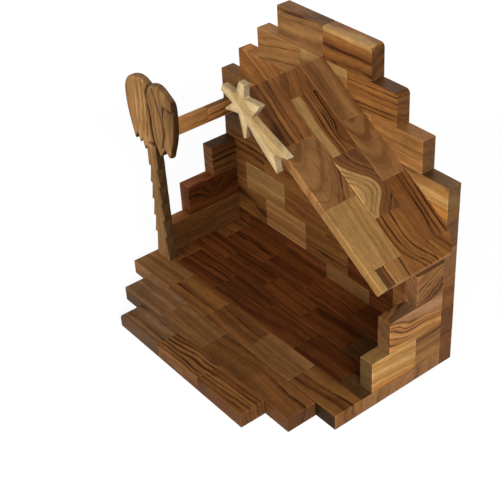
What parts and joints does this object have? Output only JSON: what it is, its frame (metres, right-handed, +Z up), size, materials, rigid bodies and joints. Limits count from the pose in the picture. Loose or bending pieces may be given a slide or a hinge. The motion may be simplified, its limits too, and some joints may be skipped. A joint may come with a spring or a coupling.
{
  "type": "nativity stable",
  "caption": "Open-fronted wooden stable of small glued blocks with a stepped gable, a one-sided tiled roof, a carved palm tree and a comet star.",
  "frame": {"origin": "middle of the overall box in plan, on the underside of the base", "axes": "+X to the right along the back wall, +Y to the back, +Z up; the open front faces -Y"},
  "size_m": [0.282, 0.1636, 0.2317],
  "materials": {
    "pale_olive_wood": "satin, pale cream sapwood",
    "honey_olive_wood": "satin, tan with soft grain",
    "amber_olive_wood": "satin, orange brown",
    "striped_olive_wood": "satin, dark wavy stripes on tan",
    "dark_olive_wood": "satin, red brown heartwood",
    "palm_wood": "satin, carved tan wood",
    "star_wood": "matt, hand-cut pale wood"
  },
  "bodies": {
    "root": {"back_wall_course_1": "dark_olive_wood", "back_wall_course_2": "amber_olive_wood", "back_wall_course_3": "honey_olive_wood", "back_wall_course_4": "striped_olive_wood", "back_wall_course_5": "striped_olive_wood", "comet_star": "star_wood", "eave_filler_1": "pale_olive_wood", "eave_filler_2": "dark_olive_wood", "eave_filler_3": "amber_olive_wood", "eaves_course_block_1": "dark_olive_wood", "eaves_course_block_2": "dark_olive_wood", "eaves_course_block_3": "honey_olive_wood", "eaves_course_block_4": "amber_olive_wood", "eaves_course_block_5": "pale_olive_wood", "floor_front_block_1": "dark_olive_wood", "floor_front_block_2": "striped_olive_wood", "floor_front_block_3": "dark_olive_wood", "floor_row_1": "honey_olive_wood", "floor_row_2": "dark_olive_wood", "floor_row_3": "dark_olive_wood", "floor_row_4": "striped_olive_wood", "floor_step_block_1": "dark_olive_wood", "floor_step_block_2": "honey_olive_wood", "floor_step_block_3": "amber_olive_wood", "floor_step_block_4": "striped_olive_wood", "gable_step_1_block_1": "amber_olive_wood", "gable_step_1_block_2": "honey_olive_wood", "gable_step_1_block_3": "pale_olive_wood", "gable_step_1_block_4": "amber_olive_wood", "gable_step_2_block_1": "honey_olive_wood", "gable_step_2_block_2": "pale_olive_wood", "gable_step_2_block_3": "striped_olive_wood", "gable_step_3_block_1": "honey_olive_wood", "gable_step_3_block_2": "striped_olive_wood", "left_wall_bottom_front": "dark_olive_wood", "left_wall_bottom_rear": "dark_olive_wood", "left_wall_middle": "dark_olive_wood", "left_wall_top": "striped_olive_wood", "palm_tree": "palm_wood", "right_wall_bottom_front": "pale_olive_wood", "right_wall_bottom_rear": "dark_olive_wood", "right_wall_middle": "striped_olive_wood", "right_wall_top": "honey_olive_wood", "roof_front_tile_1": "dark_olive_wood", "roof_front_tile_2": "honey_olive_wood", "roof_front_tile_3": "pale_olive_wood", "roof_middle_tile_1": "amber_olive_wood", "roof_middle_tile_2": "striped_olive_wood", "roof_middle_tile_3": "honey_olive_wood", "roof_middle_tile_4": "striped_olive_wood", "roof_rear_tile_1": "honey_olive_wood", "roof_rear_tile_2": "honey_olive_wood", "roof_rear_tile_3": "striped_olive_wood", "roof_rear_tile_4": "amber_olive_wood", "roof_rest_wedge": "honey_olive_wood", "side_beam_front": "amber_olive_wood", "side_beam_rear": "dark_olive_wood"}
  },
  "joints": []
}
